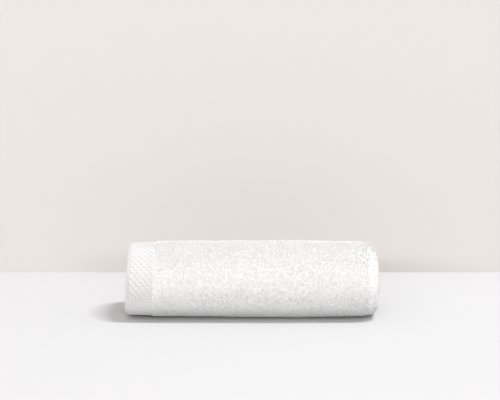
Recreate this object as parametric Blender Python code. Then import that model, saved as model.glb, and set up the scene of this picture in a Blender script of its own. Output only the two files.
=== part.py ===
"""A cotton bath towel, folded in four along its length and rolled up, lying on its side.

The towel is laid flat, folded twice so that it is four plies thick, and wound up from one
long edge. The roll is soft, so it settles: drawn in towards its top, fullest low down, and
flat where it lies. One long edge of the stack ends the winding, tucked under the back.
"""
import math

import bmesh
import bpy

MM = 0.001

# Size of the finished roll. X runs along it, Y across it and Z up. The front is -Y.
ROLL_LENGTH = 350 * MM
ROLL_DEPTH = 132 * MM
ROLL_HEIGHT = 100 * MM

# The stack of four plies, before it settles under its own weight.
TURN_PITCH = 15.4
TURN_GAP = 0.55
HALF_STACK = (TURN_PITCH - TURN_GAP) / 2

# The flat heart that the stack is wound around, and where the winding starts and ends.
CORE_HALF_WIDTH = 22.4
CORE_RISE = 3.0
HEART_FILL = 2.9
START_ANGLE = 70.0
END_ANGLE = 1000.0
STEPS_IN_A_TURN = 46

# How the winding settles: its top draws in, its low turns pack down and its foot presses flat.
TOP_DRAW = 0.39
FOOT_PACK = 0.40
FOOT_PRESS = 1.0
SLIM_CENTRE = 35.0

# The woven band at the left end has no pile, so it lies a little lower than the rest.
BAND_WIDTH = 38.0
BAND_STEP = 1.2
BAND_RAMP = 2.0

# Length of the rounded ends of the stack: hems and a fold at the left, two folds at the right.
LEFT_ROUNDING = 6.5
RIGHT_ROUNDING = 13.0
ROUNDING_ANGLES = (25, 50, 70, 90)

# Length along the path over which the first and the last edge of the stack are rounded.
EDGE_ROUNDING = 4.5
EDGE_STEPS = (0.0, 0.12, 0.45, 1.0)
EDGE_FULLNESS = (0.52, 0.76, 0.94, 1.0)

# The roll is fullest a little right of its middle.
# Columns: distance from the middle in mm, share by which the section is slimmer there.
SLIMMING = (
    (-175, 0.050),
    (-165, 0.044),
    (-150, 0.040),
    (-132, 0.028),
    (-73, 0.022),
    (0, 0.004),
    (60, 0.000),
    (123, 0.016),
    (151, 0.026),
    (163, 0.057),
    (175, 0.120),
)

# The turns don't end quite level with each other.
# Columns: winding angle in degrees, how far the left and the right end stand out in mm.
END_LINES = (
    (70, -3.0, -4.5),
    (180, -1.5, -2.5),
    (360, -3.5, -1.5),
    (540, -2.0, -2.5),
    (720, -3.5, -1.5),
    (810, -3.3, -2.2),
    (850, -3.0, 0.0),
    (900, -1.8, -0.2),
    (940, 0.0, -2.0),
    (970, -0.4, -3.5),
    (1000, -1.0, -3.0),
)

# Columns between the rounded ends, as shares of the length between them.
MIDDLE_COLUMNS = (0.25, 0.40, 0.55, 0.70, 0.85)

CLOTH_COLOUR = (0.86, 0.85, 0.84, 1.0)


def ease(value):
    value = min(max(value, 0.0), 1.0)
    return value * value * (3 - 2 * value)


def read_table(table, where, column):
    """The value of one column of a table at a place, eased between the rows."""
    if where <= table[0][0]:
        return table[0][column]
    for low, high in zip(table, table[1:]):
        if where <= high[0]:
            share = ease((where - low[0]) / (high[0] - low[0]))
            return low[column] + share * (high[column] - low[column])
    return table[-1][column]


def core_point(angle):
    """The point of the flat heart whose outward direction is the angle."""
    across = CORE_HALF_WIDTH * math.cos(angle)
    up = CORE_RISE * math.sin(angle)
    reach = math.hypot(across, up)
    return CORE_HALF_WIDTH * across / reach, CORE_RISE * up / reach


def path_point(angle):
    """The middle of the stack at a winding angle, each half turn centred on a tip of the heart."""
    core_y, core_z = core_point(angle)
    radius = TURN_PITCH * angle / (2 * math.pi)
    drop = TURN_PITCH / 4 * (1 - math.cos(angle))
    return core_y + radius * math.cos(angle), core_z + radius * math.sin(angle) - drop


def wound_point(angle, offset):
    """A point of the stack before settling, at an offset outward from its middle."""
    before = path_point(angle - 0.002)
    after = path_point(angle + 0.002)
    along_y = after[0] - before[0]
    along_z = after[1] - before[1]
    length = math.hypot(along_y, along_z)
    here = path_point(angle)
    return here[0] + offset * along_z / length, here[1] - offset * along_y / length


def turn_angles():
    """Winding angles with even steps along the cloth, the same in every turn so turns nest."""
    fine = [math.radians(step / 4) for step in range(360 * 4 + 1)]
    lengths = [0.0]
    for low, high in zip(fine, fine[1:]):
        start = wound_point(low + 2 * math.pi, 0.0)
        end = wound_point(high + 2 * math.pi, 0.0)
        lengths.append(lengths[-1] + math.dist(start, end))
    one_turn = []
    index = 0
    for step in range(STEPS_IN_A_TURN):
        target = lengths[-1] * step / STEPS_IN_A_TURN
        while lengths[index + 1] < target:
            index += 1
        one_turn.append(fine[index])
    start = math.radians(START_ANGLE)
    end = math.radians(END_ANGLE)
    angles = [turn * 2 * math.pi + angle for turn in range(3) for angle in one_turn]
    return [angle for angle in angles if start < angle < end]


def angle_at(start, distance):
    """The winding angle at a distance along the path from another angle."""
    step = math.radians(0.05) if distance > 0 else math.radians(-0.05)
    angle = start
    travelled = 0.0
    while travelled < abs(distance):
        travelled += math.dist(path_point(angle), path_point(angle + step))
        angle += step
    return angle


def path_stations():
    """Winding angle and fullness of the stack at each step, rounded at its two edges."""
    start = math.radians(START_ANGLE)
    end = math.radians(END_ANGLE)
    opening = [(angle_at(start, EDGE_ROUNDING * step), full) for step, full in zip(EDGE_STEPS, EDGE_FULLNESS)]
    closing = [(angle_at(end, -EDGE_ROUNDING * step), full) for step, full in zip(EDGE_STEPS, EDGE_FULLNESS)]
    first = opening[-1][0] + 0.02
    last = closing[-1][0] - 0.02
    middle = [(angle, 1.0) for angle in turn_angles() if first < angle < last]
    return opening + middle + closing[::-1]


def columns():
    """Along the roll: share of the length, distance in from the left and right tip, fullness."""
    left = []
    right = []
    for degrees in ROUNDING_ANGLES:
        swing = math.radians(degrees)
        left.append((0.0, LEFT_ROUNDING * (1 - math.cos(swing)), math.sin(swing)))
        right.append((1.0, -RIGHT_ROUNDING * (1 - math.cos(swing)), math.sin(swing)))
    band = [(0.0, BAND_WIDTH - BAND_RAMP, 1.0), (0.0, BAND_WIDTH, 1.0)]
    middle = [(share, 0.0, 1.0) for share in MIDDLE_COLUMNS]
    return left + band + middle + right[::-1]


def settled(y, z, low, height):
    """Where a point of the round winding comes to rest once the roll has settled."""
    share = (z - low) / height
    packed = FOOT_PACK * share * (1 - share) ** 3
    return y * (1 - TOP_DRAW * share**3), height * (share - packed)


def outline_limits():
    """The lowest point and the height of the winding before it settles."""
    angles = [math.radians(END_ANGLE - step) for step in range(360)]
    heights = [wound_point(angle, HALF_STACK)[1] for angle in angles]
    return min(heights), max(heights) - min(heights)


def cloth_point(angle, share, inset, offset, limits):
    """One point of the roll in mm, from its winding angle, its column and its offset."""
    degrees = math.degrees(angle)
    half = ROLL_LENGTH / MM / 2
    left_tip = -half - read_table(END_LINES, degrees, 1)
    right_tip = half + read_table(END_LINES, degrees, 2)
    x = left_tip + share * (right_tip - left_tip) + inset
    y, z = settled(*wound_point(angle, offset), *limits)
    slim = 1 - read_table(SLIMMING, x, 1)
    return x, y * slim, SLIM_CENTRE + (z - SLIM_CENTRE) * slim


def band_step(share, inset):
    """How much lower the woven band lies than the pile beside it."""
    if share > 0:
        return 0.0
    return BAND_STEP * ease((BAND_WIDTH - inset) / BAND_RAMP)


def heart_fill(angle):
    """How much thicker the stack is on its inner side, where it lies loose at the heart."""
    if angle > 2 * math.pi:
        return 0.0
    return HEART_FILL * math.sin(angle) ** 4


def stack_ring(angle, fullness, limits):
    """The section of the stack at one winding angle: its outer side, its inner side, its tips."""
    outer = []
    inner = []
    fill = heart_fill(angle)
    for share, inset, thick in columns():
        half = HALF_STACK * thick * fullness
        outer.append(cloth_point(angle, share, inset, half - band_step(share, inset) * thick, limits))
        inner.append(cloth_point(angle, share, inset, -half - fill * thick * fullness, limits))
    left_tip = cloth_point(angle, 0.0, 0.0, 0.0, limits)
    right_tip = cloth_point(angle, 1.0, 0.0, 0.0, limits)
    return [left_tip] + outer + [right_tip] + inner[::-1]


def rest_on_floor(rings):
    """Press the foot flat, then set the roll to its full size with its middle over the origin."""
    points = [point for ring in rings for point in ring]
    low = min(point[2] for point in points) + FOOT_PRESS
    high = max(point[2] for point in points)
    sides = [(min(values), max(values)) for values in list(zip(*points))[:2]]
    middle_x, middle_y = [(side[0] + side[1]) / 2 for side in sides]
    stretch_x, stretch_y = [
        size / MM / (side[1] - side[0]) for size, side in zip((ROLL_LENGTH, ROLL_DEPTH), sides)
    ]
    stretch_z = ROLL_HEIGHT / MM / (high - low)
    placed = []
    for ring in rings:
        placed.append([
            (
                (x - middle_x) * stretch_x * MM,
                (y - middle_y) * stretch_y * MM,
                max(z - low, 0.0) * stretch_z * MM,
            )
            for x, y, z in ring
        ])
    return placed


def close_edge(mesh, ring, flip):
    """Close one edge of the stack by joining its outer side to its inner side."""
    count = len(ring)
    half = count // 2
    for step in range(half):
        corners = [ring[step], ring[step + 1], ring[-step - 1], ring[-step]]
        unique = list(dict.fromkeys(corners))
        mesh.faces.new(unique[::-1] if flip else unique)


def wind_towel():
    """Loft the section of the stack along its winding."""
    limits = outline_limits()
    rings = [stack_ring(angle, fullness, limits) for angle, fullness in path_stations()]
    mesh = bmesh.new()
    loops = [[mesh.verts.new(point) for point in ring] for ring in rest_on_floor(rings)]
    for near, far in zip(loops, loops[1:]):
        for step in range(len(near)):
            after = (step + 1) % len(near)
            mesh.faces.new((near[step], near[after], far[after], far[step]))
    close_edge(mesh, loops[0], flip=True)
    close_edge(mesh, loops[-1], flip=False)
    bmesh.ops.recalc_face_normals(mesh, faces=mesh.faces)
    return mesh


def cotton_material():
    material = bpy.data.materials.new("white_cotton_terry")
    material.use_nodes = True
    shader = material.node_tree.nodes["Principled BSDF"]
    shader.inputs["Base Color"].default_value = CLOTH_COLOUR
    shader.inputs["Roughness"].default_value = 0.95
    shader.inputs["Metallic"].default_value = 0.0
    return material


def main():
    for thing in list(bpy.data.objects):
        bpy.data.objects.remove(thing)
    collection = bpy.data.collections.new("rolled_bath_towel")
    bpy.context.scene.collection.children.link(collection)
    data = bpy.data.meshes.new("towel_roll")
    mesh = wind_towel()
    mesh.to_mesh(data)
    mesh.free()
    data.shade_smooth()
    data.set_sharp_from_angle(angle=math.radians(50))
    data.materials.append(cotton_material())
    towel = bpy.data.objects.new("towel_roll", data)
    collection.objects.link(towel)


main()
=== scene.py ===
"""A rolled bath towel of white cotton terry on a pale floor.

The cloth is one sheet, folded in four and wound up. Its woven band and its looped pile are
laid on it as real shapes. Lengths are in millimetres until a mesh is made.
"""
import math

import bpy
import numpy as np
from mathutils import Matrix, Vector


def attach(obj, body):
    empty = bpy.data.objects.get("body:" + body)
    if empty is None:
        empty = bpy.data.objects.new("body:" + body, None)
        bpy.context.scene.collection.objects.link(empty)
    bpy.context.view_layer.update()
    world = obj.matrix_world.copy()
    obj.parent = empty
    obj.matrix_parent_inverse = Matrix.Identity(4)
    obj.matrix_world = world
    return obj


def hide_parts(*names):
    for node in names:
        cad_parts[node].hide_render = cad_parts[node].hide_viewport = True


MM = 0.001

# The roll, with the same sizes as its solid.
ROLL_LENGTH = 350.0
ROLL_DEPTH = 132.0
ROLL_HEIGHT = 100.0
TURN_PITCH = 15.4
TURN_GAP = 0.55
HALF_STACK = (TURN_PITCH - TURN_GAP) / 2
CORE_HALF_WIDTH = 22.4
CORE_RISE = 3.0
HEART_FILL = 2.9
START_ANGLE = math.radians(70.0)
END_ANGLE = math.radians(1000.0)
TOP_DRAW = 0.39
FOOT_PACK = 0.40
FOOT_PRESS = 1.0
FOOT_CORNER = -1.3
FOOT_CORNER_PLACE = 44.5
FOOT_CORNER_REACH = 4.5
FOOT_CORNER_TOP = 12.0
FOOT_CORNER_EASE = 8.0
SLIM_CENTRE = 35.0
RIGHT_ROUNDING = 13.0
NEAR_ANGLE = 0.002
TURN_STEP_DEGREES = 0.25

# Columns: distance from the middle in mm, share by which the section is slimmer there.
SLIMMING = np.array(
    [
        (-175, 0.050),
        (-165, 0.044),
        (-150, 0.040),
        (-132, 0.028),
        (-73, 0.022),
        (0, 0.004),
        (60, 0.000),
        (123, 0.016),
        (151, 0.026),
        (163, 0.057),
        (175, 0.120),
    ]
)

# Columns: winding angle in degrees, how far the left and the right end stand out in mm.
END_LINES = np.array(
    [
        (70, -3.0, -4.5),
        (180, -1.5, -2.5),
        (360, -3.5, -1.5),
        (540, -2.0, -2.5),
        (720, -3.5, -1.5),
        (810, -3.3, -2.2),
        (850, -3.0, 0.0),
        (900, -1.8, -0.2),
        (940, 0.0, -2.0),
        (970, -0.4, -3.5),
        (1000, -1.0, -3.0),
    ]
)

# Soft hollows and swells of the roll's surface. They fade towards the heart and the foot.
SWELL_CENTRE = 42.0
SWELL_FULL_RADIUS = 45.0
SWELL_LIMIT = 1.2
SWELL_FOOT_EASE = 14.0
# Columns: place along the roll, direction round it in degrees, reach along, reach round, rise.
SWELLS = (
    (-118, 150, 34, 20, -0.9),
    (-62, 128, 46, 24, 0.8),
    (-20, 188, 52, 16, -0.8),
    (38, 140, 40, 26, 0.7),
    (88, 176, 36, 20, -1.1),
    (128, 150, 30, 24, 0.7),
    (146, 196, 22, 18, -0.9),
    (-140, 205, 24, 18, 0.6),
    (10, 90, 60, 22, -0.7),
    (100, 84, 50, 26, -0.6),
    (-90, 60, 44, 24, 0.6),
    (60, 20, 50, 26, -0.9),
    (-70, 340, 46, 24, -0.8),
    (130, 330, 34, 24, 0.7),
)

# The cloth. It is folded across its middle, then across again, so four plies lie in the stack.
PLY = 2.1
PILE_BASE = 1.45
LEVEL_A1 = HALF_STACK - PILE_BASE - PLY / 2
LEVEL_B1 = 1.65
LEVEL_B2 = -1.75
LEVEL_A2 = -5.2
OUTER_FOLD_REACH = 12.0
INNER_FOLD_REACH = 3.5
FOLD_CLEARANCE = 3.15
OUTER_HEM_INSET = 1.1
INNER_HEM_INSET = 7.0
LEFT_FOLD_INSET = 3.0
HEM_BEND_RADIUS = 7.5
HEM_BEND_MARGIN = 0.1
OUTER_PLY_LEVEL = 3.0
HEM_WIDTH = 4.0
HEM_THICKENING = 0.25
HEM_THICKENING_EASE = 1.5
HEM_CAP_SHARE = 0.62
HEM_CAP_REACH = 0.8
LONG_EDGE_THINNING = 0.5
SHEET_ROW_STEP = 4.0
SHEET_CLEARANCE = 0.25
PATH_SAMPLES = 6000
PATH_PLACE = 60.0

# Stations of the cloth's profile: along each of its four plies and round its folds.
PLY_STATIONS = (46, 40, 40, 42)
OUTER_FOLD_STATIONS = 15
TIGHT_FOLD_STATIONS = 9
PLY_END_SHARE = 0.45
PLY_EVEN_SHARE = 0.55

# Columns: place across the cloth as a share of its width, how far its edge stops short in mm.
EDGE_STAGGER = np.array(
    [
        (0.00, 0.0),
        (0.24, 0.0),
        (0.27, -4.0),
        (0.49, -4.0),
        (0.52, -2.2),
        (0.74, -2.2),
        (0.77, -5.0),
        (1.00, -5.0),
    ]
)
STAGGER_EASE = 0.5
LAST_TURN_RADIUS = 62.0

# The cloth's map: its faces fill the square up to the first line, its closed edges the rest.
MAP_TOP = 0.98
EDGE_MAP_LOW = 0.985
EDGE_MAP_HIGH = 0.998

# The woven band: slanting ribs, with an eyelet wherever a groove meets a faint cross groove.
BAND_WIDTH = 38.0
RIB_REPEAT = 8.3
RIB_REPEAT_ROUND = 9.3
RIB_HEIGHT = 1.0
CROSS_DEPTH = 0.35
EYELET_DEPTH = 0.75
EYELET_BREADTH = 0.7
GROOVE_FILLING = 0.7
GROOVE_WIDTH = 0.15
TWILL_REPEAT = 2.1
TWILL_SLANT = 3
TWILL_HEIGHT = 0.05
HEM_RISE = 0.55
HEM_BASE = 0.25
STITCH_REPEAT = 2.6
STITCH_DEPTH = 0.22
STITCH_INSET = 0.7
STITCH_WIDTH = 0.35
BAND_EDGE_EASE = 1.0
BAND_LIFT = 0.05
BAND_CELL = 0.62
BAND_OVERLAP = 0.12
BAND_MIDDLE = 20.0
BAND_BEYOND_HEM = 0.4
BAND_SHORT_OF_PILE = 0.2
BAND_RIM_SINK = 0.5
BAND_CLEARANCE = 0.1

# Painted shade down in the band's relief, as shares of its lightness taken off: in the grooves, the
# cross grooves and the eyelets, and the most that may be taken off.
GROOVE_PAINTED_SHADE = 0.25
CROSS_PAINTED_SHADE = 0.08
EYELET_PAINTED_SHADE = 0.55
PAINTED_SHADE_LIMIT = 0.9

# The pile: loops of yarn in a loose grid. Names that end in SCATTER are spreads of chance.
LOOP_SPACING = 1.55
END_LOOP_SPACING = 1.7
LOOP_WIDTH = 0.85
LOOP_RISE = 1.75
YARN_RADIUS = 0.42
YARN_RADIUS_RANGE = (0.85, 1.2)
PLACE_SCATTER = 0.26
FOOT_SINK = 0.15
FOOT_SPREAD = 0.25
SHOULDER_SPREAD = 0.60
SHOULDER_RISE = (0.80, 0.88)
CLUMP_SIZE = 9.0
CLUMP_RISE = 0.02
RISE_SCATTER = 0.14
RISE_RANGE = (0.9, 2.6)
LEAN_SIZE = 12.0
LEAN_SWAY = 0.05
LEAN_SCATTER = 0.22
TURN_SCATTER = 0.9
WIDTH_RANGE = (0.7, 1.3)
SKEW_SCATTER = 0.16
LOOP_CLEARANCE = 0.04
LOOP_CLEARANCE_SPREAD = 0.12
LOOP_MAP_WIDTH = 0.31
LOOP_MAP_HEIGHT = 0.46
SMALL_LIFT = 0.4
SMALL_STEP = 0.5
NOISE_WAVES = 26
NOISE_FINENESS = 0.55
PILE_OVERLAP = 0.06
PILE_START_MARGIN = 0.01
PILE_END_MARGIN = 0.004
PILE_BAND_GAP = 0.2
LOOPS_IN_A_PIECE = 16000
SEED = 20417

# How light the loops' yarn is, from nought to about one, and the painted shade that darkens the
# loops round the folds.
TONE_MIDDLE = 0.72
TONE_SPREAD = 0.30
TONE_PATCH = 3.2
TONE_SCATTER = 0.1
TONE_LIMIT = 1.1
FOLD_PAINTED_SHADE = 0.75
FOLD_PAINTED_SHADE_BEFORE = 11.0
FOLD_PAINTED_SHADE_EASE = 11.0


def ease(value):
    value = np.clip(value, 0.0, 1.0)
    return value * value * (3 - 2 * value)


def read_table(table, where, column):
    """One column of a table at many places, eased between the rows."""
    where = np.asarray(where, float)
    low = np.clip(np.searchsorted(table[:, 0], where) - 1, 0, len(table) - 2)
    span = table[low + 1, 0] - table[low, 0]
    share = ease((where - table[low, 0]) / span)
    return table[low, column] + share * (table[low + 1, column] - table[low, column])


def path_point(angle):
    """The middle of the stack at a winding angle."""
    across = CORE_HALF_WIDTH * np.cos(angle)
    up = CORE_RISE * np.sin(angle)
    reach = np.hypot(across, up)
    radius = TURN_PITCH * angle / (2 * np.pi)
    drop = TURN_PITCH / 4 * (1 - np.cos(angle))
    y = CORE_HALF_WIDTH * across / reach + radius * np.cos(angle)
    z = CORE_RISE * up / reach + radius * np.sin(angle) - drop
    return y, z


def wound_point(angle, offset):
    """A point at an offset outward from the middle of the stack, before the roll settles."""
    y0, z0 = path_point(angle - NEAR_ANGLE)
    y1, z1 = path_point(angle + NEAR_ANGLE)
    length = np.hypot(y1 - y0, z1 - z0)
    y, z = path_point(angle)
    return y + offset * (z1 - z0) / length, z - offset * (y1 - y0) / length


def last_turn():
    angles = END_ANGLE - np.radians(np.arange(0, 360, TURN_STEP_DEGREES))
    return wound_point(angles, np.full(angles.shape, HALF_STACK))


UNSETTLED_LOW = float(last_turn()[1].min())
UNSETTLED_HEIGHT = float(np.ptp(last_turn()[1]))


def settled(y, z):
    """Where a point of the round winding comes to rest: drawn in above, packed down below."""
    share = (z - UNSETTLED_LOW) / UNSETTLED_HEIGHT
    packed = FOOT_PACK * share * (1 - share) ** 3
    return y * (1 - TOP_DRAW * share**3), UNSETTLED_HEIGHT * (share - packed)


def fitted_sizes():
    """Shift and stretch that give the settled roll its full depth and height."""
    y, z = settled(*last_turn())
    low = float(z.min()) + FOOT_PRESS
    return {
        "y": float(y.max() + y.min()) / 2,
        "z": low,
        "stretch_y": ROLL_DEPTH / float(np.ptp(y)),
        "stretch_z": ROLL_HEIGHT / (float(z.max()) - low),
    }


FIT = fitted_sizes()


def swell(x, y, z):
    """The rise of the roll's surface at a place, from the table of soft hollows and swells."""
    around = np.degrees(np.arctan2(z - SWELL_CENTRE, y))
    total = np.zeros(np.shape(x))
    for along, direction, reach, width, rise in SWELLS:
        turn = (around - direction + 180.0) % 360.0 - 180.0
        total += rise * np.exp(-(((x - along) / reach) ** 2) - (turn / width) ** 2)
    return total


def roll_point(angle, x, offset):
    """Places in the roll, in mm: x along it, offset outward from the middle of the stack."""
    heart = np.where((offset < 0) & (angle < 2 * np.pi), np.sin(angle) ** 4, 0.0)
    deep = offset * (1 + heart * HEART_FILL / HALF_STACK)
    y, z = settled(*wound_point(angle, deep))
    slim = 1 - read_table(SLIMMING, x, 1)
    y = y * slim
    z = SLIM_CENTRE + (z - SLIM_CENTRE) * slim
    y = (y - FIT["y"]) * FIT["stretch_y"]
    z = (z - FIT["z"]) * FIT["stretch_z"]
    corner = np.exp(-(((np.abs(y) - FOOT_CORNER_PLACE) / FOOT_CORNER_REACH) ** 2))
    z = z + FOOT_CORNER * corner * ease((FOOT_CORNER_TOP - z) / FOOT_CORNER_EASE)
    radius = np.maximum(np.hypot(y, z - SWELL_CENTRE), 1.0)
    fade = np.minimum(radius / SWELL_FULL_RADIUS, SWELL_LIMIT)
    push = swell(x, y, z) * fade * ease(z / SWELL_FOOT_EASE)
    y = y + push * y / radius
    z = z + push * (z - SWELL_CENTRE) / radius
    return np.stack([x, y, z], -1)


def fold_arc(share, tip_inset, reach, level, height, side, count):
    """Stations round one fold, as share of the length, inset from that end, and level."""
    swing = np.linspace(0, np.pi, count)
    inset = tip_inset - side * reach * (1 - np.sin(swing))
    return [(share, i, level + height * math.cos(s)) for i, s in zip(inset, swing)]


def straight_ply(start, end, steps):
    """Stations along a ply, finer towards its two ends."""
    shares = (1 - np.cos(np.linspace(0, np.pi, steps))) / 2
    even = np.linspace(0, 1, steps)
    mixed = PLY_END_SHARE * shares + PLY_EVEN_SHARE * even
    start = np.array(start)
    end = np.array(end)
    return [tuple(start + s * (end - start)) for s in mixed[1:-1]]


def cloth_profile():
    """The folded cloth seen from the edge of the stack, from the outer hem to the inner hem."""
    outer_tip = -(RIGHT_ROUNDING - OUTER_FOLD_REACH)
    inner_tip = outer_tip - FOLD_CLEARANCE
    mid = (LEVEL_A1 + LEVEL_A2) / 2
    half = (LEVEL_A1 - LEVEL_A2) / 2
    outer = fold_arc(1.0, outer_tip, OUTER_FOLD_REACH, mid, half, 1, OUTER_FOLD_STATIONS)
    low_mid = (LEVEL_A2 + LEVEL_B2) / 2
    low_half = (LEVEL_B2 - LEVEL_A2) / 2
    tight = TIGHT_FOLD_STATIONS
    left = fold_arc(0.0, LEFT_FOLD_INSET, low_half, low_mid, -low_half, -1, tight)
    inner_half = (LEVEL_B1 - LEVEL_B2) / 2
    inner_mid = (LEVEL_B1 + LEVEL_B2) / 2
    inner = fold_arc(1.0, inner_tip, INNER_FOLD_REACH, inner_mid, -inner_half, 1, tight)
    hem_a = (0.0, OUTER_HEM_INSET, LEVEL_A1)
    hem_b = (0.0, INNER_HEM_INSET, LEVEL_B1)
    stations = [hem_a] + straight_ply(hem_a, outer[0], PLY_STATIONS[0]) + outer
    stations += straight_ply(outer[-1], left[0], PLY_STATIONS[1]) + left
    stations += straight_ply(left[-1], inner[0], PLY_STATIONS[2]) + inner
    stations += straight_ply(inner[-1], hem_b, PLY_STATIONS[3]) + [hem_b]
    return np.array(stations)


PROFILE = cloth_profile()


def droop(share, inset, level):
    """The hem of the outer ply bends round over the stack's end."""
    place = share * ROLL_LENGTH + inset
    short = np.clip(HEM_BEND_RADIUS - place, 0.0, HEM_BEND_RADIUS - HEM_BEND_MARGIN)
    drop = HEM_BEND_RADIUS - np.sqrt(HEM_BEND_RADIUS**2 - short**2)
    return level - drop * (level > OUTER_PLY_LEVEL)


PROFILE[:, 2] = droop(PROFILE[:, 0], PROFILE[:, 1], PROFILE[:, 2])
FLAT = np.stack([PROFILE[:, 0] * ROLL_LENGTH + PROFILE[:, 1], PROFILE[:, 2]], -1)
STATION = np.concatenate([[0.0], np.cumsum(np.linalg.norm(np.diff(FLAT, axis=0), axis=1))])
SLOPE = np.gradient(FLAT, STATION, axis=0)
SLOPE /= np.linalg.norm(SLOPE, axis=1)[:, None]
FACING = np.stack([-SLOPE[:, 1], SLOPE[:, 0]], -1)

# Places in mm from the outer hem: where the right fold starts, and where loops stand round folds.
# Stations 46 to 60 of the profile lie round the right fold, and 99 to 109 round the left one.
RIGHT_FOLD_START = STATION[46]
RIGHT_FOLD_LOOPS = (STATION[46] - 3.0, STATION[60] + 1.0)
LEFT_FOLD_LOOPS = (STATION[99] - 2.5, STATION[109] + 1.5)


def cloth(v, angle, lift):
    """Places on the folded, wound cloth: v from the outer hem, lift above its middle, in mm."""
    v = np.asarray(v, float)
    share = np.interp(v, STATION, PROFILE[:, 0])
    inset = np.interp(v, STATION, PROFILE[:, 1])
    level = np.interp(v, STATION, PROFILE[:, 2])
    face_x = np.interp(v, STATION, FACING[:, 0])
    face_w = np.interp(v, STATION, FACING[:, 1])
    degrees = np.degrees(angle)
    left = -ROLL_LENGTH / 2 - read_table(END_LINES, degrees, 1)
    right = ROLL_LENGTH / 2 + read_table(END_LINES, degrees, 2)
    x = left + share * (right - left) + inset
    return roll_point(angle, x + lift * face_x, level + lift * face_w)


def path_rows(spacing, start=START_ANGLE, end=END_ANGLE, v=PATH_PLACE, lift=0.0):
    """Winding angles at even steps along the cloth, and how far along the cloth each lies."""
    fine = np.linspace(start, end, PATH_SAMPLES)
    places = cloth(np.full(fine.shape, v), fine, np.full(fine.shape, lift))
    lengths = np.concatenate([[0.0], np.cumsum(np.linalg.norm(np.diff(places, axis=0), axis=1))])
    count = int(round(lengths[-1] / spacing)) + 1
    along = np.linspace(0, lengths[-1], count)
    return np.interp(along, lengths, fine), along


def make_mesh(name, places, faces):
    """An object from places in mm and an array of faces with the same number of sides."""
    mesh = bpy.data.meshes.new(name)
    mesh.vertices.add(len(places))
    mesh.vertices.foreach_set("co", (places * MM).astype(np.float32).ravel())
    mesh.loops.add(faces.size)
    mesh.loops.foreach_set("vertex_index", faces.astype(np.int32).ravel())
    mesh.polygons.add(len(faces))
    starts = np.arange(0, faces.size, faces.shape[1], dtype=np.int32)
    mesh.polygons.foreach_set("loop_start", starts)
    mesh.update(calc_edges=True)
    mesh.validate()
    mesh.shade_smooth()
    thing = bpy.data.objects.new(name, mesh)
    bpy.context.scene.collection.objects.link(thing)
    return thing


def add_map(thing, name, corner_uv):
    layer = thing.data.uv_layers.new(name=name, do_init=False)
    layer.uv.foreach_set("vector", np.asarray(corner_uv, np.float32).ravel())


def add_tone_and_painted_shade(thing, values):
    """A number at each point that the material reads as how light it is there, painted shade
    included.
    """
    tone_and_painted_shade = thing.data.attributes.new("tone_and_painted_shade", "FLOAT", "POINT")
    tone_and_painted_shade.data.foreach_set("value", np.asarray(values, np.float32))


def grid_faces(rows, columns, wrap):
    """Faces of a grid of rows by columns, joined round if it wraps."""
    last = columns if wrap else columns - 1
    near = np.arange(last)
    far = (near + 1) % columns
    base = np.arange(rows - 1)[:, None] * columns
    faces = np.stack([base + near, base + far, base + columns + far, base + columns + near], -1)
    return faces.reshape(-1, 4)


def grid_map(rows, columns, wrap):
    """A map that spreads the same grid over the whole square."""
    last = columns if wrap else columns - 1
    left = np.arange(last) / last
    right = (np.arange(last) + 1) / last
    low = np.arange(rows - 1)[:, None] / (rows - 1) + 0 * left
    high = low + 1 / (rows - 1)
    left = left + 0 * low
    right = right + 0 * low
    corners = np.stack([left, low, right, low, right, high, left, high], -1)
    return corners.reshape(-1, 2)


def edge_stagger(v, angle):
    """The plies' long edges don't end level: how far each stops short, as an angle."""
    short = np.interp(v / STATION[-1], EDGE_STAGGER[:, 0], EDGE_STAGGER[:, 1])
    near = ease((angle - END_ANGLE + STAGGER_EASE) / STAGGER_EASE)
    return short * near / LAST_TURN_RADIUS


def sheet_rings():
    """The cloth's closed section at each row: outer face, inner hem, inner face, outer hem."""
    angles, _ = path_rows(SHEET_ROW_STEP)
    v = STATION
    from_hem = np.minimum(v, STATION[-1] - v)
    half = PLY / 2 + ease((HEM_WIDTH - from_hem) / HEM_THICKENING_EASE) * HEM_THICKENING
    rings = []
    for row, angle in enumerate(angles):
        turn = angle + edge_stagger(v, angle)
        thin = LONG_EDGE_THINNING if row in (0, len(angles) - 1) else 1.0
        top = cloth(v, turn, half * thin)
        bottom = cloth(v, turn, -half * thin)
        cap = half[0] * thin * HEM_CAP_SHARE
        inner_hem = hem_cap(v[-1], turn[-1], cap)
        outer_hem = hem_cap(v[0], turn[0], cap)
        rings.append(np.concatenate([top, inner_hem, bottom[::-1], outer_hem]))
    return np.array(rings)


def hem_cap(v, angle, half):
    """Two places just beyond a hem, which round it."""
    side = 1 if v > 0 else -1
    lifts = side * np.array([half, -half])
    edge = cloth(np.full(2, v), np.full(2, angle), lifts)
    inner = cloth(np.full(2, v - side * HEM_CAP_REACH), np.full(2, angle), lifts)
    return edge + (edge - inner)


def build_sheet():
    rings = sheet_rings()
    rows, columns, _ = rings.shape
    places = rings.reshape(-1, 3)
    places[:, 2] = np.maximum(places[:, 2], SHEET_CLEARANCE)
    faces = grid_faces(rows, columns, True)
    closing = [strip_end(columns, 0, True), strip_end(columns, (rows - 1) * columns, False)]
    faces = np.concatenate([faces] + closing)
    thing = make_mesh("towel_cloth", places, faces)
    uv = grid_map(rows, columns, True)
    spare = len(faces) * 4 - len(uv)
    add_map(thing, "OFBake", np.concatenate([uv * MAP_TOP, end_map(spare)]))
    return thing


def end_map(count):
    """Places along the map's top edge for the faces that close the cloth's long edges."""
    faces = count // 4
    left = np.arange(faces) / faces
    width = 1 / faces
    low = np.full(faces, EDGE_MAP_LOW)
    high = np.full(faces, EDGE_MAP_HIGH)
    corners = np.stack([left, low, left + width, low, left + width, high, left, high], -1)
    return corners.reshape(-1, 2)


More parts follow.
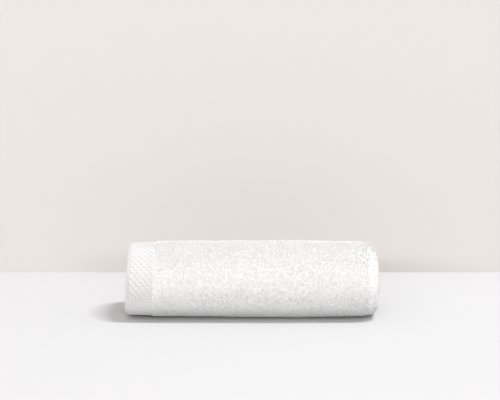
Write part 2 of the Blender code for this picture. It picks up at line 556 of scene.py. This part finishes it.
def strip_end(columns, base, flip):
    """Faces that close one long edge of the cloth, from its outer face to its inner face."""
    stations = len(STATION)
    top = np.arange(stations - 1)
    back = 2 * stations + 1 - top
    inner = np.stack([top, top + 1, back - 1, back], -1) + base
    hem_b = np.array([[stations - 1, stations, stations + 1, stations + 2]]) + base
    hem_a = np.array([[columns - 2, columns - 1, 0, columns - 3]]) + base
    faces = np.concatenate([inner, hem_b, hem_a])
    return faces[:, ::-1] if flip else faces


def grooves(v, along):
    """How far into a groove each place is, from nought on the ribs to one: main and cross ones."""
    lines = []
    for way in (-1, 1):
        place = v / RIB_REPEAT + way * along / RIB_REPEAT_ROUND
        from_line = (place + 0.5) % 1.0 - 0.5
        lines.append(np.exp(-((from_line / GROOVE_WIDTH) ** 2)))
    return lines


def band_height(v, along):
    """The relief of the woven band: a turned hem, then slanting ribs with eyelets between."""
    groove, cross = grooves(v, along)
    twill = 0.5 + 0.5 * np.cos(2 * np.pi * (v + TWILL_SLANT * along) / TWILL_REPEAT)
    ribs = RIB_HEIGHT * (1 - GROOVE_FILLING * groove) - CROSS_DEPTH * cross + TWILL_HEIGHT * twill
    ribs = ribs - EYELET_DEPTH * (groove * cross) ** EYELET_BREADTH
    across_hem = (v - HEM_WIDTH / 2) / (HEM_WIDTH / 2)
    hem = HEM_RISE * np.sqrt(np.clip(1 - across_hem**2, 0, 1)) + HEM_BASE
    sewn = 0.5 + 0.5 * np.cos(2 * np.pi * along / STITCH_REPEAT)
    seam = (v - HEM_WIDTH + STITCH_INSET) / STITCH_WIDTH
    stitch = STITCH_DEPTH * np.exp(-(seam**2)) * sewn
    inside = ease((v - HEM_WIDTH) / BAND_EDGE_EASE)
    return inside * ribs + (v < HEM_WIDTH) * (hem - stitch) + BAND_LIFT


def band_tone_with_painted_shade(v, along):
    """How light the band is: painted shade makes it a little darker down in the grooves and
    eyelets.
    """
    groove, cross = grooves(v, along)
    inside = ease((v - HEM_WIDTH) / BAND_EDGE_EASE)
    eyelet = (groove * cross) ** EYELET_BREADTH
    # Painted shade in the grooves, cross grooves and eyelets.
    painted_shade = GROOVE_PAINTED_SHADE * groove + CROSS_PAINTED_SHADE * cross + EYELET_PAINTED_SHADE * eyelet
    return 1.0 - inside * np.minimum(painted_shade, PAINTED_SHADE_LIMIT)


def build_band():
    """The pile-free band's woven face, a thin skin on the cloth round the outside of the roll."""
    start = END_ANGLE - 2 * np.pi - BAND_OVERLAP
    angles, along = path_rows(BAND_CELL, start, END_ANGLE, v=BAND_MIDDLE, lift=PLY / 2)
    count = int(BAND_WIDTH / BAND_CELL) + 2
    v = np.linspace(-BAND_BEYOND_HEM, BAND_WIDTH - BAND_SHORT_OF_PILE, count)
    grid_v, grid_a = np.meshgrid(v, angles)
    grid_s = np.broadcast_to(along[:, None], grid_v.shape)
    lift = PLY / 2 + band_height(grid_v, grid_s)
    rim = np.zeros(grid_v.shape, bool)
    rim[:, [0, -1]] = True
    rim[[0, -1], :] = True
    lift = np.where(rim, PLY / 2 - BAND_RIM_SINK, lift)
    places = cloth(grid_v, grid_a, lift).reshape(-1, 3)
    places[:, 2] = np.maximum(places[:, 2], BAND_CLEARANCE)
    faces = grid_faces(*grid_v.shape, False)
    thing = make_mesh("towel_band", places, faces)
    add_map(thing, "OFBake", grid_map(*grid_v.shape, False))
    weave = np.stack([grid_v, grid_s], -1).reshape(-1, 2)
    add_map(thing, "weave", weave[faces.ravel()] * MM)
    # Painted shade in the band's relief, kept as its lightness at each point.
    add_tone_and_painted_shade(thing, band_tone_with_painted_shade(grid_v, grid_s).ravel())
    return thing


def scatter(v_range, angle_range, spacing, random):
    """A loose grid of places for loops, as v and winding angle."""
    v_middle = (v_range[0] + v_range[1]) / 2
    angles, _ = path_rows(spacing, angle_range[0], angle_range[1], v=v_middle, lift=PLY / 2)
    columns = max(int(round((v_range[1] - v_range[0]) / spacing)), 1)
    v = v_range[0] + (np.arange(columns) + 0.5) * (v_range[1] - v_range[0]) / columns
    grid_v, grid_a = np.meshgrid(v, angles)
    step = np.gradient(angles)[:, None]
    shift = (np.arange(len(angles)) % 2 - 0.5)[:, None] * spacing * 0.5
    grid_v = grid_v + shift + random.normal(0, PLACE_SCATTER * spacing, grid_v.shape)
    grid_a = grid_a + step * random.normal(0, PLACE_SCATTER, grid_a.shape)
    return grid_v.ravel(), np.clip(grid_a, angle_range[0], angle_range[1]).ravel()


def soft_noise(places, scale, random):
    """Smooth noise in space from a few dozen waves, about one unit high."""
    waves = random.normal(0, 1.0, (NOISE_WAVES, 3)) * (2 * np.pi / scale)
    phases = random.uniform(0, 2 * np.pi, NOISE_WAVES)
    total = np.zeros(len(places))
    for wave, phase in zip(waves, phases):
        total += np.cos(places @ wave * NOISE_FINENESS + phase)
    return total / math.sqrt(NOISE_WAVES / 2)


def unit(vectors):
    return vectors / np.maximum(np.linalg.norm(vectors, axis=-1, keepdims=True), 1e-9)


def loop_bases(v, angle, lift):
    """Each loop's foot and its directions: outward, away from the outer hem, round the roll."""
    foot = cloth(v, angle, lift)
    out = unit(cloth(v, angle, lift + SMALL_LIFT) - foot)
    along = unit(cloth(v + SMALL_STEP, angle, lift) - foot)
    across = unit(np.cross(out, along))
    return foot, out, unit(np.cross(across, out)), across


def loop_shapes(v, angle, random):
    """The four places that each loop's yarn goes through: foot, two shoulders, foot."""
    lift = np.full(v.shape, PLY / 2 - FOOT_SINK)
    foot, out, along, across = loop_bases(v, angle, lift)
    count = len(v)
    clump = soft_noise(foot, CLUMP_SIZE, random)
    lean_a = LEAN_SWAY * soft_noise(foot, LEAN_SIZE, random) + random.normal(0, LEAN_SCATTER, count)
    lean_b = LEAN_SWAY * soft_noise(foot, LEAN_SIZE, random) + random.normal(0, LEAN_SCATTER, count)
    rise = LOOP_RISE * (1 + CLUMP_RISE * clump + random.normal(0, RISE_SCATTER, count))
    rise = np.clip(rise, *RISE_RANGE)[:, None]
    turn = random.normal(0, TURN_SCATTER, count)[:, None]
    width = (LOOP_WIDTH * random.uniform(*WIDTH_RANGE, count))[:, None]
    way = unit(along * np.cos(turn) + across * np.sin(turn))
    up = unit(out + along * lean_a[:, None] + across * lean_b[:, None])
    skew = random.normal(0, SKEW_SCATTER, count)[:, None] * across
    places = [
        foot - FOOT_SPREAD * width * way,
        foot - SHOULDER_SPREAD * width * way + SHOULDER_RISE[0] * rise * up + skew,
        foot + SHOULDER_SPREAD * width * way + SHOULDER_RISE[1] * rise * up - skew,
        foot + FOOT_SPREAD * width * way,
    ]
    return np.stack(places, 1), up, way


def yarn_places(places, up, way, random):
    """Eight places a loop: its foot, a three-sided ring at each shoulder, its other foot."""
    shoulders = places[:, 1:3]
    heading = unit(places[:, 2:4] - places[:, 0:2])
    side = unit(np.cross(way, up))[:, None, :] + 0 * heading
    other = unit(np.cross(heading, side))
    side = unit(np.cross(other, heading))
    radius = YARN_RADIUS * random.uniform(*YARN_RADIUS_RANGE, len(places))[:, None, None]
    start = random.uniform(0, 2 * np.pi, len(places))[:, None, None]
    rings = []
    for corner in range(3):
        swing = start + corner * 2 * np.pi / 3
        rings.append(shoulders + radius * (np.cos(swing) * side + np.sin(swing) * other))
    rings = np.stack(rings, 2).reshape(len(places), 6, 3)
    return np.concatenate([places[:, :1], rings, places[:, 3:]], 1)


def loop_faces(count):
    """Twelve triangles a loop: a cone up from each foot, and the tube between the shoulders."""
    one = []
    for corner in range(3):
        a = 1 + corner
        b = 1 + (corner + 1) % 3
        one += [(0, b, a), (a, b, b + 3), (a, b + 3, a + 3), (7, a + 3, b + 3)]
    return (np.arange(count)[:, None, None] * 8 + np.array(one)).reshape(-1, 3)


def loop_map(count):
    """A map with a small cell for each loop, its twelve faces in pairs of half squares."""
    columns = int(math.ceil(math.sqrt(count)))
    index = np.arange(count)
    cell = 1.0 / columns
    left = (index % columns) * cell
    low = (index // columns) * cell
    pair = np.arange(6)
    x0 = left[:, None] + (pair % 3) * cell / 3
    y0 = low[:, None] + (pair // 3) * cell / 2
    x1 = x0 + cell * LOOP_MAP_WIDTH
    y1 = y0 + cell * LOOP_MAP_HEIGHT
    lower = np.stack([x0, y0, x1, y0, x0, y1], -1)
    upper = np.stack([x1, y1, x0, y1, x1, y0], -1)
    return np.stack([lower, upper], 2).reshape(-1, 2)


def loop_tone_and_painted_shade(feet, v, random):
    """How light each of a loop's places is: painted shade at its feet, and its top in
    patches of a few loops.

    From just before the right fold on, painted shade makes the loops darker.
    """
    # Painted shade that darkens the loops from just before the right fold on.
    fold_painted_shade = FOLD_PAINTED_SHADE * ease((v - RIGHT_FOLD_START + FOLD_PAINTED_SHADE_BEFORE) / FOLD_PAINTED_SHADE_EASE)
    top = TONE_MIDDLE - fold_painted_shade + TONE_SPREAD * soft_noise(feet, TONE_PATCH, random)
    # The feet stay at nought: painted shade at the foot of each loop.
    tone_and_painted_shade = np.zeros((len(feet), 8))
    tone_and_painted_shade[:, 1:7] = top[:, None] + random.uniform(-TONE_SCATTER, TONE_SCATTER, (len(feet), 6))
    return np.clip(tone_and_painted_shade, 0, TONE_LIMIT).ravel()


def build_loops(name, v, angle, random):
    """One joined mesh of yarn loops standing on the cloth."""
    places, up, way = loop_shapes(v, angle, random)
    feet = places[:, 0].copy()
    places = yarn_places(places, up, way, random).reshape(-1, 3)
    clearance = LOOP_CLEARANCE + LOOP_CLEARANCE_SPREAD * random.random(len(places))
    places[:, 2] = np.maximum(places[:, 2], clearance)
    thing = make_mesh(name, places, loop_faces(len(v)))
    add_map(thing, "OFBake", loop_map(len(v)))
    add_tone_and_painted_shade(thing, loop_tone_and_painted_shade(feet, v, random))
    return thing


def build_pile():
    """Loops on the outside of the last turn, and round the folds that show at both ends."""
    random = np.random.default_rng(SEED)
    shown = (END_ANGLE - 2 * np.pi - PILE_OVERLAP, END_ANGLE - PILE_END_MARGIN)
    v_range = (BAND_WIDTH + PILE_BAND_GAP, RIGHT_FOLD_LOOPS[0])
    v, angle = scatter(v_range, shown, LOOP_SPACING, random)
    order = np.argsort(v, kind="stable")
    pieces = []
    groups = np.array_split(order, math.ceil(len(order) / LOOPS_IN_A_PIECE))
    for number, group in enumerate(groups):
        pieces.append(build_loops(f"towel_pile_{number + 1}", v[group], angle[group], random))
    whole = (START_ANGLE + PILE_START_MARGIN, END_ANGLE - PILE_END_MARGIN)
    zones = {
        "towel_pile_right_fold": RIGHT_FOLD_LOOPS,
        "towel_pile_left_fold": LEFT_FOLD_LOOPS,
    }
    for name, v_range in zones.items():
        v, angle = scatter(v_range, whole, END_LOOP_SPACING, random)
        pieces.append(build_loops(name, v, angle, random))
    return pieces


def node(tree, kind, x=0, y=0, **values):
    made = tree.nodes.new(kind)
    made.location = (x, y)
    for name, value in values.items():
        setattr(made, name, value)
    return made


# White cotton: shares of roughness and shine, noise scales in a metre, and a depth in metres.
COTTON_ROUGHNESS = 0.93
COTTON_SPECULAR = 0.25
COTTON_SHEEN_ROUGHNESS = 0.6
COTTON_NOISE_DETAIL = 3.0
RELIEF_DEPTH = 0.0004
FUZZ_SCALE = 2600.0
FUZZ_DETAIL = 2.0
NOISE_RAMP = (0.32, 0.70)
TONE_RAMP = (0.04, 0.94)
TONE_STIR = 0.25
TONE_FROM = (0.05, 1.2)
THREAD_SCALE = 560.0
THREAD_WANDER = 0.6

# The three cottons: their darkest and lightest grey, size of spots, sheen and relief.
GROUND_LOOK = {"low": 0.72, "high": 0.985, "scale": 420.0, "sheen": 0.3, "bump": 0.5}
PILE_LOOK = {"low": 0.79, "high": 0.995, "scale": 420.0, "sheen": 0.6, "bump": 0.25}
BAND_LOOK = {"low": 0.37, "high": 0.68, "scale": 90.0, "sheen": 0.3, "bump": 0.6}


def cotton(name, low, high, scale, sheen, bump, weave=False, tone_and_painted_shade=False):
    """White cotton: a faint change of lightness from place to place, and a fine yarn relief.

    With the flag set, the colour also follows a number at each point, painted shade included.
    """
    material = bpy.data.materials.new(name)
    material.use_nodes = True
    tree = material.node_tree
    shader = tree.nodes["Principled BSDF"]
    shader.inputs["Roughness"].default_value = COTTON_ROUGHNESS
    shader.inputs["Specular IOR Level"].default_value = COTTON_SPECULAR
    shader.inputs["Sheen Weight"].default_value = sheen
    shader.inputs["Sheen Roughness"].default_value = COTTON_SHEEN_ROUGHNESS
    place = node(tree, "ShaderNodeTexCoord", -900, 0)
    noise = node(tree, "ShaderNodeTexNoise", -680, 120)
    noise.inputs["Scale"].default_value = scale
    noise.inputs["Detail"].default_value = COTTON_NOISE_DETAIL
    ramp = node(tree, "ShaderNodeValToRGB", -460, 120)
    ends = TONE_RAMP if tone_and_painted_shade else NOISE_RAMP
    for end, position, grey in zip(ramp.color_ramp.elements, ends, (low, high)):
        end.position = position
        end.color = (grey, grey, grey, 1)
    tree.links.new(place.outputs["Object"], noise.inputs["Vector"])
    shade = noise.outputs["Fac"]
    # Here the colour follows the number each point carries, which holds painted shade.
    if tone_and_painted_shade:
        shade = yarn_tone_and_painted_shade(tree, shade)
    tree.links.new(shade, ramp.inputs["Fac"])
    tree.links.new(ramp.outputs["Color"], shader.inputs["Base Color"])
    relief = node(tree, "ShaderNodeBump", -220, -200)
    relief.inputs["Strength"].default_value = bump
    relief.inputs["Distance"].default_value = RELIEF_DEPTH
    if weave:
        height = weave_height(tree)
    else:
        fuzz = node(tree, "ShaderNodeTexNoise", -680, -200)
        fuzz.inputs["Scale"].default_value = FUZZ_SCALE
        fuzz.inputs["Detail"].default_value = FUZZ_DETAIL
        tree.links.new(place.outputs["Object"], fuzz.inputs["Vector"])
        height = fuzz.outputs["Fac"]
    tree.links.new(height, relief.inputs["Height"])
    tree.links.new(relief.outputs["Normal"], shader.inputs["Normal"])
    return material


def yarn_tone_and_painted_shade(tree, noise):
    """The lightness each point carries, painted shade included, from dark to light, stirred by a
    little noise.
    """
    tone_and_painted_shade = node(tree, "ShaderNodeAttribute", -900, 320, attribute_name="tone_and_painted_shade")
    stir = node(tree, "ShaderNodeMath", -680, 320, operation="MULTIPLY_ADD")
    stir.inputs[1].default_value = TONE_STIR
    tree.links.new(noise, stir.inputs[0])
    tree.links.new(tone_and_painted_shade.outputs["Fac"], stir.inputs[2])
    fit = node(tree, "ShaderNodeMapRange", -500, 320)
    fit.inputs["From Min"].default_value = TONE_FROM[0]
    fit.inputs["From Max"].default_value = TONE_FROM[1]
    tree.links.new(stir.outputs[0], fit.inputs["Value"])
    return fit.outputs["Result"]


def weave_height(tree):
    """Crossing threads of the flat weave, about half a millimetre apart."""
    cloth_map = node(tree, "ShaderNodeUVMap", -900, -300, uv_map="weave")
    warp = node(tree, "ShaderNodeTexWave", -680, -240, wave_type="BANDS", bands_direction="X")
    weft = node(tree, "ShaderNodeTexWave", -680, -480, wave_type="BANDS", bands_direction="Y")
    for thread in (warp, weft):
        thread.inputs["Scale"].default_value = THREAD_SCALE
        thread.inputs["Distortion"].default_value = THREAD_WANDER
        tree.links.new(cloth_map.outputs["UV"], thread.inputs["Vector"])
    both = node(tree, "ShaderNodeMath", -440, -340, operation="MULTIPLY")
    tree.links.new(warp.outputs["Fac"], both.inputs[0])
    tree.links.new(weft.outputs["Fac"], both.inputs[1])
    return both.outputs[0]


def plain(name, colour, roughness):
    material = bpy.data.materials.new(name)
    material.use_nodes = True
    shader = material.node_tree.nodes["Principled BSDF"]
    shader.inputs["Base Color"].default_value = (*colour, 1)
    shader.inputs["Roughness"].default_value = roughness
    return material


def dress_towel():
    ground = cotton("cotton_ground", **GROUND_LOOK)
    pile = cotton("cotton_pile", **PILE_LOOK, tone_and_painted_shade=True)
    woven = cotton("cotton_band", **BAND_LOOK, weave=True, tone_and_painted_shade=True)
    sheet = build_sheet()
    sheet.data.materials.append(ground)
    band = build_band()
    band.data.materials.append(woven)
    loops = build_pile()
    for piece in loops:
        piece.data.materials.append(pile)
    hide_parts("towel_roll")
    for piece in [sheet, band] + loops:
        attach(piece, "root")


def stage_plane(name, corners, material):
    mesh = bpy.data.meshes.new(name)
    mesh.from_pydata(corners, [], [(0, 1, 2, 3)])
    thing = bpy.data.objects.new(name, mesh)
    bpy.context.scene.collection.objects.link(thing)
    thing.data.materials.append(material)


def area_light(name, place, target, size_x, size_y, energy, colour=(1, 1, 1)):
    light = bpy.data.lights.new(name, "AREA")
    light.shape = "RECTANGLE"
    light.size = size_x
    light.size_y = size_y
    light.energy = energy
    light.color = colour
    lamp = bpy.data.objects.new(name, light)
    lamp.location = place
    lamp.rotation_euler = (Vector(target) - Vector(place)).to_track_quat("-Z", "Y").to_euler()
    bpy.context.scene.collection.objects.link(lamp)


# The stage, in metres: a floor that meets a wall behind the towel.
WALL_BEHIND = 0.265
STAGE_HALF_WIDTH = 4.0
STAGE_FRONT = -5.0
WALL_TOP = 3.0
PAINT_ROUGHNESS = 0.8
FLOOR_COLOUR = (0.585, 0.585, 0.595)
WALL_COLOUR = (0.705, 0.672, 0.654)

# The lights, in metres and watts. The overhead one has its long side (size_y) from right to left.
OVERHEAD = {
    "place": (2.84, 0.12, 6.8),
    "target": (0, 0, 0.03),
    "size_x": 0.32,
    "size_y": 2.4,
    "energy": 385.0,
    "colour": (0.96, 0.985, 1.0),
}
FRONT_FILL = {
    "place": (-0.5, -3.6, 1.22),
    "target": (0, 0, 0.05),
    "size_x": 5.0,
    "size_y": 0.3,
    "energy": 74.0,
}
SKY_COLOUR = (1.0, 0.965, 0.935)
SKY_STRENGTH = 0.75


def build_stage():
    """A pale floor that meets a pale wall behind the towel, an overhead light and a soft fill."""
    wide = STAGE_HALF_WIDTH
    back = WALL_BEHIND
    front = STAGE_FRONT
    top = WALL_TOP
    floor = plain("floor_paint", FLOOR_COLOUR, PAINT_ROUGHNESS)
    wall = plain("wall_paint", WALL_COLOUR, PAINT_ROUGHNESS)
    floor_corners = [(-wide, front, 0), (wide, front, 0), (wide, back, 0), (-wide, back, 0)]
    wall_corners = [(-wide, back, 0), (wide, back, 0), (wide, back, top), (-wide, back, top)]
    stage_plane("floor", floor_corners, floor)
    stage_plane("wall", wall_corners, wall)
    area_light("overhead", **OVERHEAD)
    area_light("front_fill", **FRONT_FILL)
    world = bpy.data.worlds.new("studio")
    world.use_nodes = True
    sky = world.node_tree.nodes["Background"]
    sky.inputs["Color"].default_value = (*SKY_COLOUR, 1)
    sky.inputs["Strength"].default_value = SKY_STRENGTH
    bpy.context.scene.world = world
    bpy.context.scene.view_settings.view_transform = "Standard"
    bpy.context.scene.view_settings.look = "None"


# The camera: a long lens, a little above the towel.
FOCAL_PIXELS = 2000.0
CAMERA_PITCH = math.radians(10.1)
CAMERA_DISTANCE = 2.8
AIM = Vector((0.0, 0.0, 0.045))
AIM_PIXEL = (251.7, 280.6)
PICTURE_SIZE = (500, 400)
SENSOR_WIDTH = 36.0
CLIP_END = 50.0


def build_camera():
    data = bpy.data.cameras.new("camera")
    data.sensor_width = SENSOR_WIDTH
    data.lens = FOCAL_PIXELS * SENSOR_WIDTH / PICTURE_SIZE[0]
    data.clip_end = CLIP_END
    camera = bpy.data.objects.new("camera", data)
    forward = Vector((0, math.cos(CAMERA_PITCH), -math.sin(CAMERA_PITCH)))
    up = Vector((0, math.sin(CAMERA_PITCH), math.cos(CAMERA_PITCH)))
    right = Vector((1, 0, 0))
    across = (AIM_PIXEL[0] - PICTURE_SIZE[0] / 2) / FOCAL_PIXELS
    down = (AIM_PIXEL[1] - PICTURE_SIZE[1] / 2) / FOCAL_PIXELS
    sight = (forward + across * right - down * up).normalized()
    place = AIM - CAMERA_DISTANCE * sight
    turn = Matrix((right, up, -forward)).transposed().to_4x4()
    camera.matrix_world = Matrix.Translation(place) @ turn
    bpy.context.scene.collection.objects.link(camera)
    bpy.context.scene.camera = camera


def corners(box):
    return [[round(float(value), 6) for value in corner] for corner in box]


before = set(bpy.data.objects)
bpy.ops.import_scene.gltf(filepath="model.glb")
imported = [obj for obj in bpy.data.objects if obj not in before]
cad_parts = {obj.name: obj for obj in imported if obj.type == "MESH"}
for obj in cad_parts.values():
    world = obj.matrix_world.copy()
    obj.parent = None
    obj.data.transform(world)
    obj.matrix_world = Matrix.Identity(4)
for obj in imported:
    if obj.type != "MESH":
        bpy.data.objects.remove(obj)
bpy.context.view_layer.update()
build_stage()
build_camera()
dress_towel()
